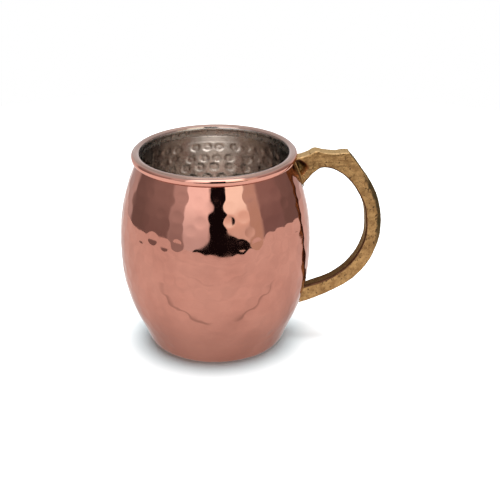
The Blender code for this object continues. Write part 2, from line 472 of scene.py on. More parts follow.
# How far the ends reach inside the barrel's smooth outline.
HANDLE_BITE_MM = 0.3
CUTTER_STEP_MM = 2.0
POLE_RADIUS_MM = 2.0


def read_along(points, at, wanted):
    """The polyline's points at the wanted lengths, given each point's own length."""
    return np.stack([np.interp(wanted, at, points[:, k]) for k in (0, 1)], 1)


def handle_edges():
    """The handle's outer and inner points, paired station by station from the upper root to the lower end."""
    outer = np.vstack([smooth_run(TOP_EDGE, EDGE_SPAN_STEPS)[:-1], smooth_run(OUTER_EDGE, EDGE_SPAN_STEPS)])
    inner = smooth_run(INNER_EDGE, EDGE_SPAN_STEPS)
    outer_at, inner_at = path_lengths(outer), path_lengths(inner)
    outer_marks = outer_at[np.array(OUTER_PAIRS) * EDGE_SPAN_STEPS]
    inner_marks = np.interp(np.array(INNER_PAIRS) * EDGE_SPAN_STEPS, np.arange(len(inner)), inner_at)
    stations = []
    for low, high in zip(outer_marks, outer_marks[1:]):
        stations.append(np.linspace(low, high, round((high - low) / STATION_STEP_MM), endpoint=False))
    stations = np.concatenate([*stations, outer_marks[-1:]])
    matched = np.interp(stations, outer_marks, inner_marks)
    return read_along(outer, outer_at, stations), read_along(inner, inner_at, matched)


def section_shape(half_depth, half_width, corner):
    """A rounded rectangle as (depth, width) points, counter-clockwise, the same count at any size."""
    points = []
    sides = ((1, 1, 0), (-1, 1, 90), (-1, -1, 180), (1, -1, 270))
    arcs = []
    for sx, sy, at in sides:
        center = (sx * (half_depth - corner), sy * (half_width - corner))
        arcs.append(arc(center, corner, math.radians(at), math.radians(at + 90), ROUND_STEPS))
    for k, turned in enumerate(arcs):
        points.append(turned)
        start, end = turned[-1], arcs[(k + 1) % 4][0]
        count = NARROW_POINTS if k % 2 else SIDE_POINTS
        share = (np.arange(count) + 1)[:, None] / (count + 1)
        points.append(start + (end - start) * share)
    return np.vstack(points)


def inside_outline(points, outline):
    """Signed distance from each point to a closed outline, positive inside."""
    corners = np.array(outline)
    best = np.full(len(points), 1e9)
    crossings = np.zeros(len(points), int)
    for a, b in zip(corners, np.roll(corners, -1, axis=0)):
        along = b - a
        share = np.clip(((points - a) @ along) / (along @ along), 0, 1)
        best = np.minimum(best, np.linalg.norm(points - (a + share[:, None] * along), axis=1))
        spans = (a[1] > points[:, 1]) != (b[1] > points[:, 1])
        meets = a[0] + (points[:, 1] - a[1]) * along[0] / (along[1] or 1e-9)
        crossings += spans & (points[:, 0] < meets)
    return np.where(crossings % 2 == 1, best, -best)


def make_handle(material):
    """The cast handle: rounded sections between its two edges, scooped beside the wall, a little uneven."""
    outer, inner = handle_edges()
    rings, from_edge = [], []
    for o, i in zip(outer, inner):
        middle, across = (o + i) / 2, (o - i) / 2
        half_depth = np.linalg.norm(across)
        shape = section_shape(half_depth, HANDLE_HALF_MM, EDGE_ROUND_MM)
        place = middle + shape[:, :1] * (across / half_depth)
        rings.append(np.stack([place[:, 0], shape[:, 1], place[:, 1]], 1))
        from_edge.append((half_depth - shape[:, 0]) * MM)
    rings = np.array(rings)
    flat = rings.reshape(-1, 3)
    sink = np.clip(inside_outline(flat[:, ::2], SCOOP_MM) / SCOOP_SLOPE_MM, 0, 1)
    start, along = np.array(BOSS_MM[0]), np.subtract(BOSS_MM[1], BOSS_MM[0])
    share = np.clip((flat[:, ::2] - start) @ along / (along @ along), 0, 1)
    off = np.linalg.norm(flat[:, ::2] - start - share[:, None] * along, axis=1)
    boss = BOSS_HEIGHT_MM * np.exp(-((off / BOSS_REACH_MM) ** 2))
    sink = sink * sink * (3 - 2 * sink)
    push = boss - sink * SCOOP_DEPTH_MM
    flat[:, 1] += np.sign(flat[:, 1]) * push * (np.abs(flat[:, 1]) > SIDE_FROM_MM)
    middle = np.repeat((outer + inner) / 2, rings.shape[1], axis=0)
    out = np.stack([flat[:, 0] - middle[:, 0], flat[:, 1], flat[:, 2] - middle[:, 1]], 1)
    out /= np.linalg.norm(out, axis=1, keepdims=True)
    uneven = unevenness(flat, *BROAD_UNEVEN_MM)
    uneven = uneven + unevenness(flat + FINE_SHIFT_MM, *FINE_UNEVEN_MM) - FINE_UNEVEN_MM[1]
    flat += out * uneven[:, None]
    obj = grid_object("handle_cast", rings[:, ::-1] * MM, material)
    store_values(obj, "from_outer_edge", np.array(from_edge)[:, ::-1])
    store_values(obj, "scoop_shade", sink.reshape(rings.shape[:2])[:, ::-1])
    store_values(obj, "along", np.repeat(np.linspace(0, 1, len(rings)), rings.shape[1]))
    work = bmesh.new()
    work.from_mesh(obj.data)
    bmesh.ops.holes_fill(work, edges=[edge for edge in work.edges if edge.is_boundary])
    bmesh.ops.recalc_face_normals(work, faces=work.faces)
    work.to_mesh(obj.data)
    work.free()
    cut_to_wall(obj)
    return obj


def store_values(obj, name, values):
    """Keeps one number a point on the mesh, for its material to read."""
    attribute = obj.data.attributes.new(name, "FLOAT", "POINT")
    attribute.data.foreach_set("value", values.ravel())


def cut_to_wall(obj):
    """Cuts the handle's ends to the barrel, so that they reach a little way into the copper."""
    side = even_run(side_outline(), CUTTER_STEP_MM)
    side = side - outline_normals(side) * HANDLE_BITE_MM
    rings = turned_rings(np.vstack([side, [[POLE_RADIUS_MM, HANDLE_BITE_MM]]]))
    top = (0, (0, 0, side[0, 1] * MM))
    bottom = (len(rings) - 1, (0, 0, HANDLE_BITE_MM * MM))
    cutter = grid_object("wall_cutter", rings, obj.data.materials[0], [top, bottom])
    boolean = obj.modifiers.new("Ends", "BOOLEAN")
    boolean.operation = "DIFFERENCE"
    boolean.object = cutter
    graph = bpy.context.evaluated_depsgraph_get()
    mesh = bpy.data.meshes.new_from_object(obj.evaluated_get(graph))
    obj.modifiers.clear()
    obj.data = mesh
    mesh.shade_smooth()
    bpy.data.objects.remove(cutter, do_unlink=True)


# ---------------------------------------------------------------- materials

# Each noise is (scale per metre, detail, roughness, distortion), with the last ones left out where they are
# the usual. The fades are where it goes from one colour or roughness to the other.
TONE_FADE = (0.35, 0.7)
HAZE_FADE = (0.3, 0.75)

COPPER_TONE = (55.0, 4.0, 0.6)
COPPER_HAZE = (240.0, 3.0)
COPPER_COLOURS = ((0.44, 0.194, 0.145), (0.405, 0.172, 0.128))
COPPER_EDGE = (0.77, 0.72, 0.70)
COPPER_ROUGHNESS = (0.04, 0.09)
# The bead's copper, painted lighter than the body's as a painted highlight; worn tin on the crown also shows
# it.
BEAD_COPPER_PAINTED_LIGHTER = (0.58, 0.265, 0.20)
ROLL_HEIGHTS = (0.0922, 0.0926)
CROWN_HEIGHTS = (BEAD_HEIGHT_MM * MM - 0.0002, BEAD_HEIGHT_MM * MM + 0.0004)

# The tin, by height: the plain neck above the bumps, painted lighter than the tin below as a painted
# highlight, a painted shade line in it, and painted shade in the groove under the bead.
TIN_TONE = (70.0, 4.0, 0.6)
TIN_HAZE = (300.0, 3.0)
TIN_COLOURS = ((0.77, 0.71, 0.66), (0.68, 0.62, 0.57))
TIN_ROUGHNESS = (0.17, 0.27)
# The first colour is the neck's tin painted lighter, a painted highlight; the second is painted shade.
NECK_PAINTED_LIGHT_AND_SHADE = ((0.84, 0.765, 0.70), (0.13, 0.10, 0.085))
NECK_HEIGHTS = (0.0912, 0.0920)
# A painted shade line round the neck, standing in for a small groove: its height, fade and share.
NECK_SHADE_LINE_HEIGHT = 0.0941
NECK_SHADE_LINE_FADE = (0.0001, 0.0005)
NECK_SHADE_LINE_SHARE = 0.55
# Painted shade in the groove under the bead: its height, fade and share.
CREASE_SHADE_HEIGHT = 0.0957
CREASE_SHADE_FADE = (0.00015, 0.0004)
CREASE_SHADE_SHARE = 0.85
TIN_CROWN_HEIGHTS = (0.0957, 0.0960)
RIM_COLOURS = ((0.39, 0.31, 0.28), (0.46, 0.295, 0.24))
THINNED_FADE = (-0.0021, -0.0009)
RIM_FADE = (0.0013, 0.0021)
RIM_WANDER = 0.0008

# The lathe's marks at the neck: where they are duller, and where their lines are pressed in.
TURNED_FROM = (0.0905, 0.0920)
TURNED_TO = (0.0955, 0.0960)
TURNED_ROUGHNESS = 0.06
LINES_FROM = (0.0865, 0.0885)
LINES_TO = (0.0948, 0.0953)
LINES_STRETCH = (3.0, 3.0, 800.0)
LINES_NOISE = (1.0, 2.0, 0.6)
LINES_DEPTH = 0.00012
LINES_STRENGTH = 0.8

BRASS_TONE = (260.0, 5.0, 0.65)
BRASS_HAZE = (500.0, 4.0)
BRASS_COLOURS = ((0.45, 0.255, 0.104), (0.26, 0.136, 0.052))
BRASS_EDGE = (0.78, 0.66, 0.50)
BRASS_TONE_FADE = (0.35, 0.68)
BRASS_ROUGHNESS = (0.27, 0.42)
BRASS_SPECK = (0.14, 0.07, 0.026)
SPECK_NOISE = (700.0, 4.0, 0.7)
SPECK_FADE = (0.50, 0.72)
SPECK_SHARE = 0.7

# File marks cross the handle near its top, and the top face, where it faces up, is painted lighter as a
# painted highlight.
FILE_STRETCH = (110.0, 110.0, 1100.0)
FILE_NOISE = (1.0, 4.0, 0.65, 0.6)
FILE_HEIGHTS = (0.080, 0.087)
FILE_FADE = (0.50, 0.62)
FILE_SHARE = 0.55
TOP_PAINTED_HIGHLIGHT = (0.58, 0.38, 0.19)
TOP_HIGHLIGHT_TURN = (0.45, 0.85)
TOP_HIGHLIGHT_HEIGHTS = (0.088, 0.090)

# A ragged dark band at the outer edge, over the D's shoulder, partly patina and partly a painted dark
# reflection. Shares run from the upper root to the end.
PATINA_AND_DARK_REFLECTION_COLOUR = (0.055, 0.038, 0.018)
SHOULDER_FROM = (0.30, 0.36)
SHOULDER_TO = (0.50, 0.66)
PATINA_AND_REFLECTION_REACH = (0.0014, 0.0028)
PATINA_AND_REFLECTION_RAGGED = 0.004

# The faces towards the middle of the grip, and the faces away from it, which carry a painted dark reflection.
GRIP_CENTER = (0.054, 0.056)
GRIP_COLOURS = ((0.062, 0.027, 0.014), (0.125, 0.056, 0.031))
GRIP_FADE = (0.003, 0.010)
BACK_PAINTED_REFLECTION_COLOURS = ((0.12, 0.085, 0.047), (0.19, 0.125, 0.062))
BACK_REFLECTION_FADE = (-0.008, -0.016)
BACK_REFLECTION_TURN = (0.3, 0.6)

# Painted shade in the scoop beside the wall: its colour, fade and share.
SCOOP_PAINTED_SHADE = (0.10, 0.062, 0.02)
SCOOP_SHADE_FADE = (0.1, 0.9)
SCOOP_SHADE_SHARE = 0.85

# Small pits, more of them in patches and along the edge of the patina and painted dark reflection, over a
# fine grain.
PIT_COLOUR = (0.09, 0.05, 0.022)
PIT_NOISE = (1000.0, 2.0, 0.5)
PIT_FADE = (0.28, 0.35)
PATCH_NOISE = (150.0, 2.0)
PATCH_FADE = (0.5, 0.62)
PATCH_CROWDING = 0.05
EDGE_CROWDING = 0.08
EDGE_CROWDING_REACH = (0.002, 0.005)
GRAIN_NOISE = (900.0, 5.0, 0.7)
GRAIN_DEPTH = 0.00035
PIT_DEPTH = 0.0002
BRASS_BUMP = 0.7

WIRE_TONE = (300.0,)
WIRE_COLOURS = ((0.40, 0.24, 0.10), (0.33, 0.19, 0.08))
WIRE_ROUGHNESS = 0.4


class Nodes:
    """A small helper that adds nodes to a tree and links what it is given."""

    def __init__(self, tree):
        self.tree = tree

    def add(self, kind, **settings):
        node = self.tree.nodes.new(kind)
        for key, value in settings.items():
            setattr(node, key, value)
        return node

    def put(self, socket, value):
        if isinstance(value, bpy.types.NodeSocket):
            self.tree.links.new(value, socket)
        elif hasattr(value, "__len__") and len(value) == 3 and socket.type == "RGBA":
            socket.default_value = (*value, 1.0)
        else:
            socket.default_value = value

    def math(self, operation, a, b=0.0):
        node = self.add("ShaderNodeMath", operation=operation)
        self.put(node.inputs[0], a)
        self.put(node.inputs[1], b)
        return node.outputs[0]

    def times(self, a, b):
        return self.math("MULTIPLY", a, b)

    def off(self, value, middle):
        """How far a value is from its middle, either way."""
        return self.math("ABSOLUTE", self.math("SUBTRACT", value, middle))

    def parts(self, vector):
        """The vector's X, Y and Z."""
        node = self.add("ShaderNodeSeparateXYZ")
        self.put(node.inputs[0], vector)
        return node.outputs

    def stored(self, name):
        """A number kept on the mesh's points."""
        return self.add("ShaderNodeAttribute", attribute_name=name).outputs["Fac"]

    def mix(self, factor, a, b):
        node = self.add("ShaderNodeMix", data_type="RGBA")
        self.put(node.inputs["Factor"], factor)
        self.put(node.inputs[6], a)
        self.put(node.inputs[7], b)
        return node.outputs[2]

    def fade(self, value, low, high, to_low=0.0, to_high=1.0):
        node = self.add("ShaderNodeMapRange", interpolation_type="SMOOTHSTEP")
        names = ("Value", "From Min", "From Max", "To Min", "To Max")
        for name, given in zip(names, (value, low, high, to_low, to_high)):
            self.put(node.inputs[name], given)
        return node.outputs[0]

    def band(self, value, rising, falling):
        """One between the two fades, and zero outside them."""
        return self.times(self.fade(value, *rising), self.fade(value, *falling, 1.0, 0.0))

    def noise(self, vector, scale, detail=3.0, roughness=0.5, distortion=0.0):
        node = self.add("ShaderNodeTexNoise")
        names = ("Vector", "Scale", "Detail", "Roughness", "Distortion")
        for name, given in zip(names, (vector, scale, detail, roughness, distortion)):
            self.put(node.inputs[name], given)
        return node.outputs["Fac"]

    def stretched(self, vector, scale):
        node = self.add("ShaderNodeMapping")
        self.put(node.inputs["Vector"], vector)
        node.inputs["Scale"].default_value = scale
        return node.outputs[0]

    def choose(self, factor, a, b):
        """One shader or the other."""
        node = self.add("ShaderNodeMixShader")
        for socket, given in zip(node.inputs, (factor, a, b)):
            self.put(socket, given)
        return node.outputs[0]

    def bump(self, height, distance, strength=1.0, normal=None):
        node = self.add("ShaderNodeBump")
        self.put(node.inputs["Height"], height)
        node.inputs["Distance"].default_value = distance
        node.inputs["Strength"].default_value = strength
        if normal is not None:
            self.put(node.inputs["Normal"], normal)
        return node.outputs[0]


def metal(name):
    """A new metallic material, as (material, its nodes, its shader, object coordinates)."""
    material = bpy.data.materials.new(name)
    material.use_nodes = True
    nodes = Nodes(material.node_tree)
    shader = material.node_tree.nodes["Principled BSDF"]
    shader.inputs["Metallic"].default_value = 1.0
    place = nodes.add("ShaderNodeTexCoord").outputs["Object"]
    return material, nodes, shader, place


def from_ring(nodes, x, y):
    """How far out a point is from the circle through the bead's middle."""
    flat = nodes.math("ADD", nodes.times(x, x), nodes.times(y, y))
    return nodes.math("SUBTRACT", nodes.math("SQRT", flat), BEAD_RING_RADIUS_MM * MM)


def copper_material():
    """Polished copper with a faint tarnish, and a trace of tin on the upper side of the bead."""
    material, nodes, shader, place = metal("hammered copper")
    tone = nodes.noise(place, *COPPER_TONE)
    copper = nodes.mix(nodes.fade(tone, *TONE_FADE), *COPPER_COLOURS)
    x, y, height = nodes.parts(place)
    # The bead is painted lighter copper than the body, a painted highlight.
    copper = nodes.mix(nodes.fade(height, *ROLL_HEIGHTS), copper, BEAD_COPPER_PAINTED_LIGHTER)
    traced = nodes.mix(nodes.fade(from_ring(nodes, x, y), *RIM_FADE), RIM_COLOURS[1], BEAD_COPPER_PAINTED_LIGHTER)
    nodes.put(shader.inputs["Base Color"], nodes.mix(nodes.fade(height, *CROWN_HEIGHTS), copper, traced))
    nodes.put(shader.inputs["Specular Tint"], COPPER_EDGE)
    haze = nodes.noise(place, *COPPER_HAZE)
    nodes.put(shader.inputs["Roughness"], nodes.fade(haze, *HAZE_FADE, *COPPER_ROUGHNESS))
    return material


def tin_material():
    """Grey tin, with fine turning lines at the neck, that thins out to copper over the crown of the bead."""
    material, nodes, shader, place = metal("tin lining")
    x, y, height = nodes.parts(place)
    tone = nodes.noise(place, *TIN_TONE)
    tin = nodes.mix(nodes.fade(tone, *TONE_FADE), *TIN_COLOURS)
    # The neck is painted lighter than the tin below it, a painted highlight.
    tin = nodes.mix(nodes.fade(height, *NECK_HEIGHTS), tin, NECK_PAINTED_LIGHT_AND_SHADE[0])
    # A painted shade line round the neck, where a small groove would be.
    line = nodes.fade(nodes.off(height, NECK_SHADE_LINE_HEIGHT), *NECK_SHADE_LINE_FADE, NECK_SHADE_LINE_SHARE, 0.0)
    tin = nodes.mix(line, tin, NECK_PAINTED_LIGHT_AND_SHADE[1])

    wander = nodes.times(nodes.math("SUBTRACT", tone, 0.5), RIM_WANDER)
    across = nodes.math("ADD", from_ring(nodes, x, y), wander)
    thinned = nodes.mix(nodes.fade(across, *THINNED_FADE), *RIM_COLOURS)
    worn = nodes.mix(nodes.fade(across, *RIM_FADE), thinned, BEAD_COPPER_PAINTED_LIGHTER)
    tin = nodes.mix(nodes.fade(height, *TIN_CROWN_HEIGHTS), tin, worn)
    # Painted shade in the groove under the bead.
    crease_shade = nodes.fade(nodes.off(height, CREASE_SHADE_HEIGHT), *CREASE_SHADE_FADE, CREASE_SHADE_SHARE, 0.0)
    nodes.put(shader.inputs["Base Color"], nodes.mix(crease_shade, tin, NECK_PAINTED_LIGHT_AND_SHADE[1]))

    haze = nodes.noise(place, *TIN_HAZE)
    turned = nodes.band(height, TURNED_FROM, TURNED_TO)
    dull = nodes.times(turned, TURNED_ROUGHNESS)
    rough = nodes.fade(haze, *HAZE_FADE, *TIN_ROUGHNESS)
    nodes.put(shader.inputs["Roughness"], nodes.math("ADD", rough, dull))
    lines = nodes.noise(nodes.stretched(place, LINES_STRETCH), *LINES_NOISE)
    pressed = nodes.times(lines, nodes.band(height, LINES_FROM, LINES_TO))
    nodes.put(shader.inputs["Normal"], nodes.bump(pressed, LINES_DEPTH, LINES_STRENGTH))
    return material


def brass_material():
    """Cast brass: mottled, pitted, with a painted highlight on top, dark inside the grip, and patina with a
    painted dark reflection at the outer edge.
    """
    material, nodes, shader, place = metal("cast brass")
    nodes.put(shader.inputs["Specular Tint"], BRASS_EDGE)
    x, _, z = nodes.parts(place)
    facing_x, _, facing_z = nodes.parts(nodes.add("ShaderNodeTexCoord").outputs["Normal"])
    from_edge = nodes.stored("from_outer_edge")
    along = nodes.stored("along")

    tone = nodes.noise(place, *BRASS_TONE)
    colour = nodes.mix(nodes.fade(tone, *BRASS_TONE_FADE), *BRASS_COLOURS)
    specks = nodes.noise(place, *SPECK_NOISE)
    colour = nodes.mix(nodes.fade(specks, *SPECK_FADE, 0.0, SPECK_SHARE), colour, BRASS_SPECK)
    files = nodes.noise(nodes.stretched(place, FILE_STRETCH), *FILE_NOISE)
    filed = nodes.times(files, nodes.fade(z, *FILE_HEIGHTS))
    colour = nodes.mix(nodes.fade(filed, *FILE_FADE, 0.0, FILE_SHARE), colour, BRASS_SPECK)
    # A painted highlight on the top face, where it faces up.
    top_highlight = nodes.times(nodes.fade(facing_z, *TOP_HIGHLIGHT_TURN), nodes.fade(z, *TOP_HIGHLIGHT_HEIGHTS))
    colour = nodes.mix(top_highlight, colour, TOP_PAINTED_HIGHLIGHT)

    ragged = nodes.math("ADD", from_edge, nodes.times(nodes.math("SUBTRACT", tone, 0.5), PATINA_AND_REFLECTION_RAGGED))
    shoulder = nodes.band(along, SHOULDER_FROM, SHOULDER_TO)
    # The band at the outer edge: partly patina, partly a painted dark reflection.
    patina_and_dark_reflection = nodes.times(shoulder, nodes.fade(ragged, *PATINA_AND_REFLECTION_REACH, 1.0, 0.0))
    colour = nodes.mix(patina_and_dark_reflection, colour, PATINA_AND_DARK_REFLECTION_COLOUR)
    inward_x = nodes.times(facing_x, nodes.math("SUBTRACT", GRIP_CENTER[0], x))
    inward_z = nodes.times(facing_z, nodes.math("SUBTRACT", GRIP_CENTER[1], z))
    inward = nodes.math("ADD", inward_x, inward_z)
    colour = nodes.mix(nodes.fade(inward, *GRIP_FADE), colour, nodes.mix(tone, *GRIP_COLOURS))
    # A painted dark reflection on the faces away from the grip that turn towards +X.
    back = nodes.times(nodes.fade(inward, *BACK_REFLECTION_FADE), nodes.fade(facing_x, *BACK_REFLECTION_TURN))
    colour = nodes.mix(back, colour, nodes.mix(tone, *BACK_PAINTED_REFLECTION_COLOURS))
    # Painted shade in the scoop, darker where the scoop is deeper.
    scoop_shade = nodes.fade(nodes.stored("scoop_shade"), *SCOOP_SHADE_FADE, 0.0, SCOOP_SHADE_SHARE)
    colour = nodes.mix(scoop_shade, colour, SCOOP_PAINTED_SHADE)

    patchy = nodes.fade(nodes.noise(place, *PATCH_NOISE), *PATCH_FADE, 0.0, PATCH_CROWDING)
    at_edge = nodes.times(shoulder, nodes.fade(ragged, *EDGE_CROWDING_REACH, EDGE_CROWDING, 0.0))
    crowded = nodes.math("ADD", at_edge, patchy)
    pits = nodes.math("SUBTRACT", nodes.noise(place, *PIT_NOISE), crowded)
    pitted = nodes.fade(pits, *PIT_FADE, 1.0, 0.0)
    nodes.put(shader.inputs["Base Color"], nodes.mix(pitted, colour, PIT_COLOUR))
    haze = nodes.noise(place, *BRASS_HAZE)
    nodes.put(shader.inputs["Roughness"], nodes.fade(haze, *HAZE_FADE, *BRASS_ROUGHNESS))
    grain = nodes.noise(place, *GRAIN_NOISE)
    rough = nodes.bump(nodes.math("SUBTRACT", grain, filed), GRAIN_DEPTH, BRASS_BUMP)
    raised = nodes.math("SUBTRACT", 1.0, pitted)
    nodes.put(shader.inputs["Normal"], nodes.bump(raised, PIT_DEPTH, BRASS_BUMP, rough))
    return material


def wire_material():
    """The dull wire inside the curl."""
    material, nodes, shader, place = metal("wire")
    tone = nodes.noise(place, *WIRE_TONE)
    nodes.put(shader.inputs["Base Color"], nodes.mix(tone, *WIRE_COLOURS))
    shader.inputs["Roughness"].default_value = WIRE_ROUGHNESS
    return material


# ---------------------------------------------------------------- studio

CAMERA_AZIMUTH = math.radians(-5.0)
CAMERA_ELEVATION = math.radians(23.76)
CAMERA_DISTANCE = 0.6405
CAMERA_ROLL = math.radians(0.855)
LENS_MM = 95.07
SENSOR_MM = 36.0
SHIFT = (0.0692, -0.0125)

# The table as (across, away from the camera) round the mug. The copper shows its edge as a horizon.
TABLE_EDGE = [
    (0.0, -0.33), (0.30, -0.33), (0.56, -0.33), (0.57, -0.12), (0.43, 0.05), (0.34, 0.13), (0.28, 0.30),
    (0.0, 0.41), (-0.25, 0.32), (-0.27, 0.17), (-0.36, 0.06), (-0.47, -0.09), (-0.55, -0.33), (-0.30, -0.33),
]
TABLE_SPAN_STEPS = 8
# Near the mug the table is painted cyan, cancelling the pink light the copper throws onto it; further out it
# is near white.
TABLE_PAINTED_TINT_COLOURS = ((0.75, 0.90, 0.94), (0.86, 0.885, 0.89))
TABLE_PAINTED_TINT_FADE = (0.03, 0.05)
TABLE_ROUGHNESS = 0.9
TABLE_SPECULAR = 0.1

# The table as the metal mirrors it: its mottle, a share of its real light, and a glow for the rest.
MIRRORED_COLOURS = ((0.93, 0.925, 0.92), (0.82, 0.82, 0.82))
MOTTLE_STRETCH = (14.0, 34.0, 20.0)
MOTTLE_NOISE = (1.0, 5.0, 0.65)
MOTTLE_FADE = (0.35, 0.65)
TABLE_SHARE = 0.34
TABLE_GLOW = 0.71

# Dark lines across its cover as (place away from the camera, half width, darkness). They fade out at a gap in
# the middle and at their ends.
TABLE_DARK_LINES = ((-0.062, 0.0042, 0.55), (-0.139, 0.0035, 0.2))
DARK_LINE_COLOUR = (0.3, 0.3, 0.3)
DARK_LINE_MIDDLE = 0.0065
DARK_LINE_GAP = (0.008, 0.018)
DARK_LINE_ENDS = (0.07, 0.12)
DARK_LINE_NOISE = (18.0, 3.0)
DARK_LINE_WANDER = 0.008

TABLE_LIGHT = 1.3
AMBIENT = 0.42
AMBIENT_COLOUR = (0.93, 0.98, 1.0)
LEAN = (0.7, 0.35)
SUN_POWER = 6.1
SUN_ANGLE = 57
SUN_FROM = (0.01, 0.10, 1.0)

# What the polished metal mirrors, in degrees: (azimuth from, to), (elevation from, to), (soft sides, soft
# top), colour low down, colour high up. Azimuths are counted from the camera's side of the mug.
PANELS = [
    ((-122, -58), (-60, 26), (6, 16), (0.31, 0.29, 0.30), (0.44, 0.42, 0.43)),
    ((-124, -92), (-60, 26), (10, 16), (0.25, 0.235, 0.24), (0.38, 0.36, 0.37)),
    ((-58, -39), (-60, 26), (6, 16), (0.50, 0.50, 0.52), (0.75, 0.75, 0.78)),
    ((58, 122), (-60, 26), (6, 16), (0.32, 0.29, 0.31), (0.47, 0.43, 0.44)),
    ((92, 124), (-60, 26), (10, 16), (0.26, 0.24, 0.245), (0.38, 0.36, 0.37)),
    ((41, 58), (-60, 26), (8, 16), (0.81, 0.79, 0.68), (0.85, 0.84, 0.78)),
    ((-39, -8), (-60, 50), (3, 10), (0.95, 1.05, 1.12), (1.65, 1.85, 1.95)),
    ((12, 41), (-60, 50), (3, 10), (0.93, 0.97, 0.93), (1.70, 2.12, 2.05)),
    ((12, 41), (-60, 10), (3, 12), (1.05, 1.12, 1.06), (1.62, 1.62, 1.45)),
]
PANEL_HEIGHTS = (-6.0, 22.0)
BACKDROP = ((0.74, 0.78, 0.82), (0.60, 0.63, 0.66))
BACKDROP_HEIGHTS = (5.0, 40.0)

# Overhead lights as (azimuth, elevation), radius, colour, and how soft their edges are either way.
SOFTBOXES = [((7, 52), 27, (2.35, 2.4, 2.46)), ((170, 66), 19, (1.0, 1.02, 1.04))]
SOFTBOX_EDGE = 5

# A plain dark standing panel: its left and right sides, its wider foot, and where each side spreads to it.
FIGURE = (-5.5, 15)
FIGURE_FOOT = (-28, 45)
FIGURE_SPREADS = ((-11.0, -1.0), (-9.0, 1.5))
FIGURE_TOP = 30
FIGURE_SHADE = (0.0105, 0.0085, 0.011)


def add_camera():
    """A camera that looks at the mug's middle, a little rolled and shifted."""
    data = bpy.data.cameras.new("camera")
    data.lens = LENS_MM
    data.sensor_width = SENSOR_MM
    data.shift_x, data.shift_y = SHIFT
    data.clip_start = 0.01
    camera = bpy.data.objects.new("camera", data)
    bpy.context.scene.collection.objects.link(camera)
    back = Vector((
        math.sin(CAMERA_AZIMUTH) * math.cos(CAMERA_ELEVATION),
        -math.cos(CAMERA_AZIMUTH) * math.cos(CAMERA_ELEVATION),
        math.sin(CAMERA_ELEVATION),
    ))
    right = Vector((math.cos(CAMERA_AZIMUTH), math.sin(CAMERA_AZIMUTH), 0.0))
    up = back.cross(right)
    turn, lean = math.cos(CAMERA_ROLL), math.sin(CAMERA_ROLL)
    axes = Matrix((turn * right - lean * up, lean * right + turn * up, back)).transposed()
    target = Vector((0.0, 0.0, mug_high.z / 2))
    camera.matrix_world = Matrix.Translation(target + CAMERA_DISTANCE * back) @ axes.to_4x4()
    bpy.context.scene.camera = camera


def toward(azimuth, elevation):
    """The unit vector at an azimuth from the camera's side and an elevation, in radians."""
    flat = math.cos(elevation)
    return math.sin(azimuth) * flat, -math.cos(azimuth) * flat, math.sin(elevation)


def add_tent(nodes, direction):
    """The colour that polished metal mirrors in each direction."""
    x, y, z = nodes.parts(direction)
    azimuth = nodes.times(nodes.math("ARCTAN2", x, nodes.times(y, -1.0)), 180 / math.pi)
    elevation = nodes.times(nodes.math("ARCSINE", z), 180 / math.pi)
    colour = nodes.mix(nodes.fade(elevation, *BACKDROP_HEIGHTS), *BACKDROP)

    def between(value, low, high, soft_low, soft_high):
        above = nodes.fade(nodes.math("SUBTRACT", value, low), -soft_low / 2, soft_low / 2)
        below = nodes.fade(nodes.math("SUBTRACT", value, high), -soft_high / 2, soft_high / 2, 1.0, 0.0)
        return nodes.times(above, below)

    height = nodes.fade(elevation, *PANEL_HEIGHTS)
    for azimuths, elevations, (soft, soft_top), low, high in PANELS:
        across = between(azimuth, *azimuths, soft, soft)
        upright = between(elevation, *elevations, 1.0, soft_top)
        colour = nodes.mix(nodes.times(across, upright), colour, nodes.mix(height, low, high))
    for place, radius, shade in SOFTBOXES:
        facing = nodes.add("ShaderNodeVectorMath", operation="DOT_PRODUCT")
        nodes.put(facing.inputs[0], direction)
        facing.inputs[1].default_value = toward(*(math.radians(angle) for angle in place))
        limits = (math.cos(math.radians(radius + soft)) for soft in (SOFTBOX_EDGE, -SOFTBOX_EDGE))
        colour = nodes.mix(nodes.fade(facing.outputs["Value"], *limits), colour, shade)
    sides = [
        nodes.fade(elevation, *spread, foot, side)
        for spread, foot, side in zip(FIGURE_SPREADS, FIGURE_FOOT, FIGURE)
    ]
    below_top = nodes.fade(elevation, FIGURE_TOP - 1, FIGURE_TOP, 1.0, 0.0)
    figure = nodes.times(between(azimuth, *sides, 1.0, 1.0), below_top)
    return nodes.mix(figure, colour, FIGURE_SHADE)


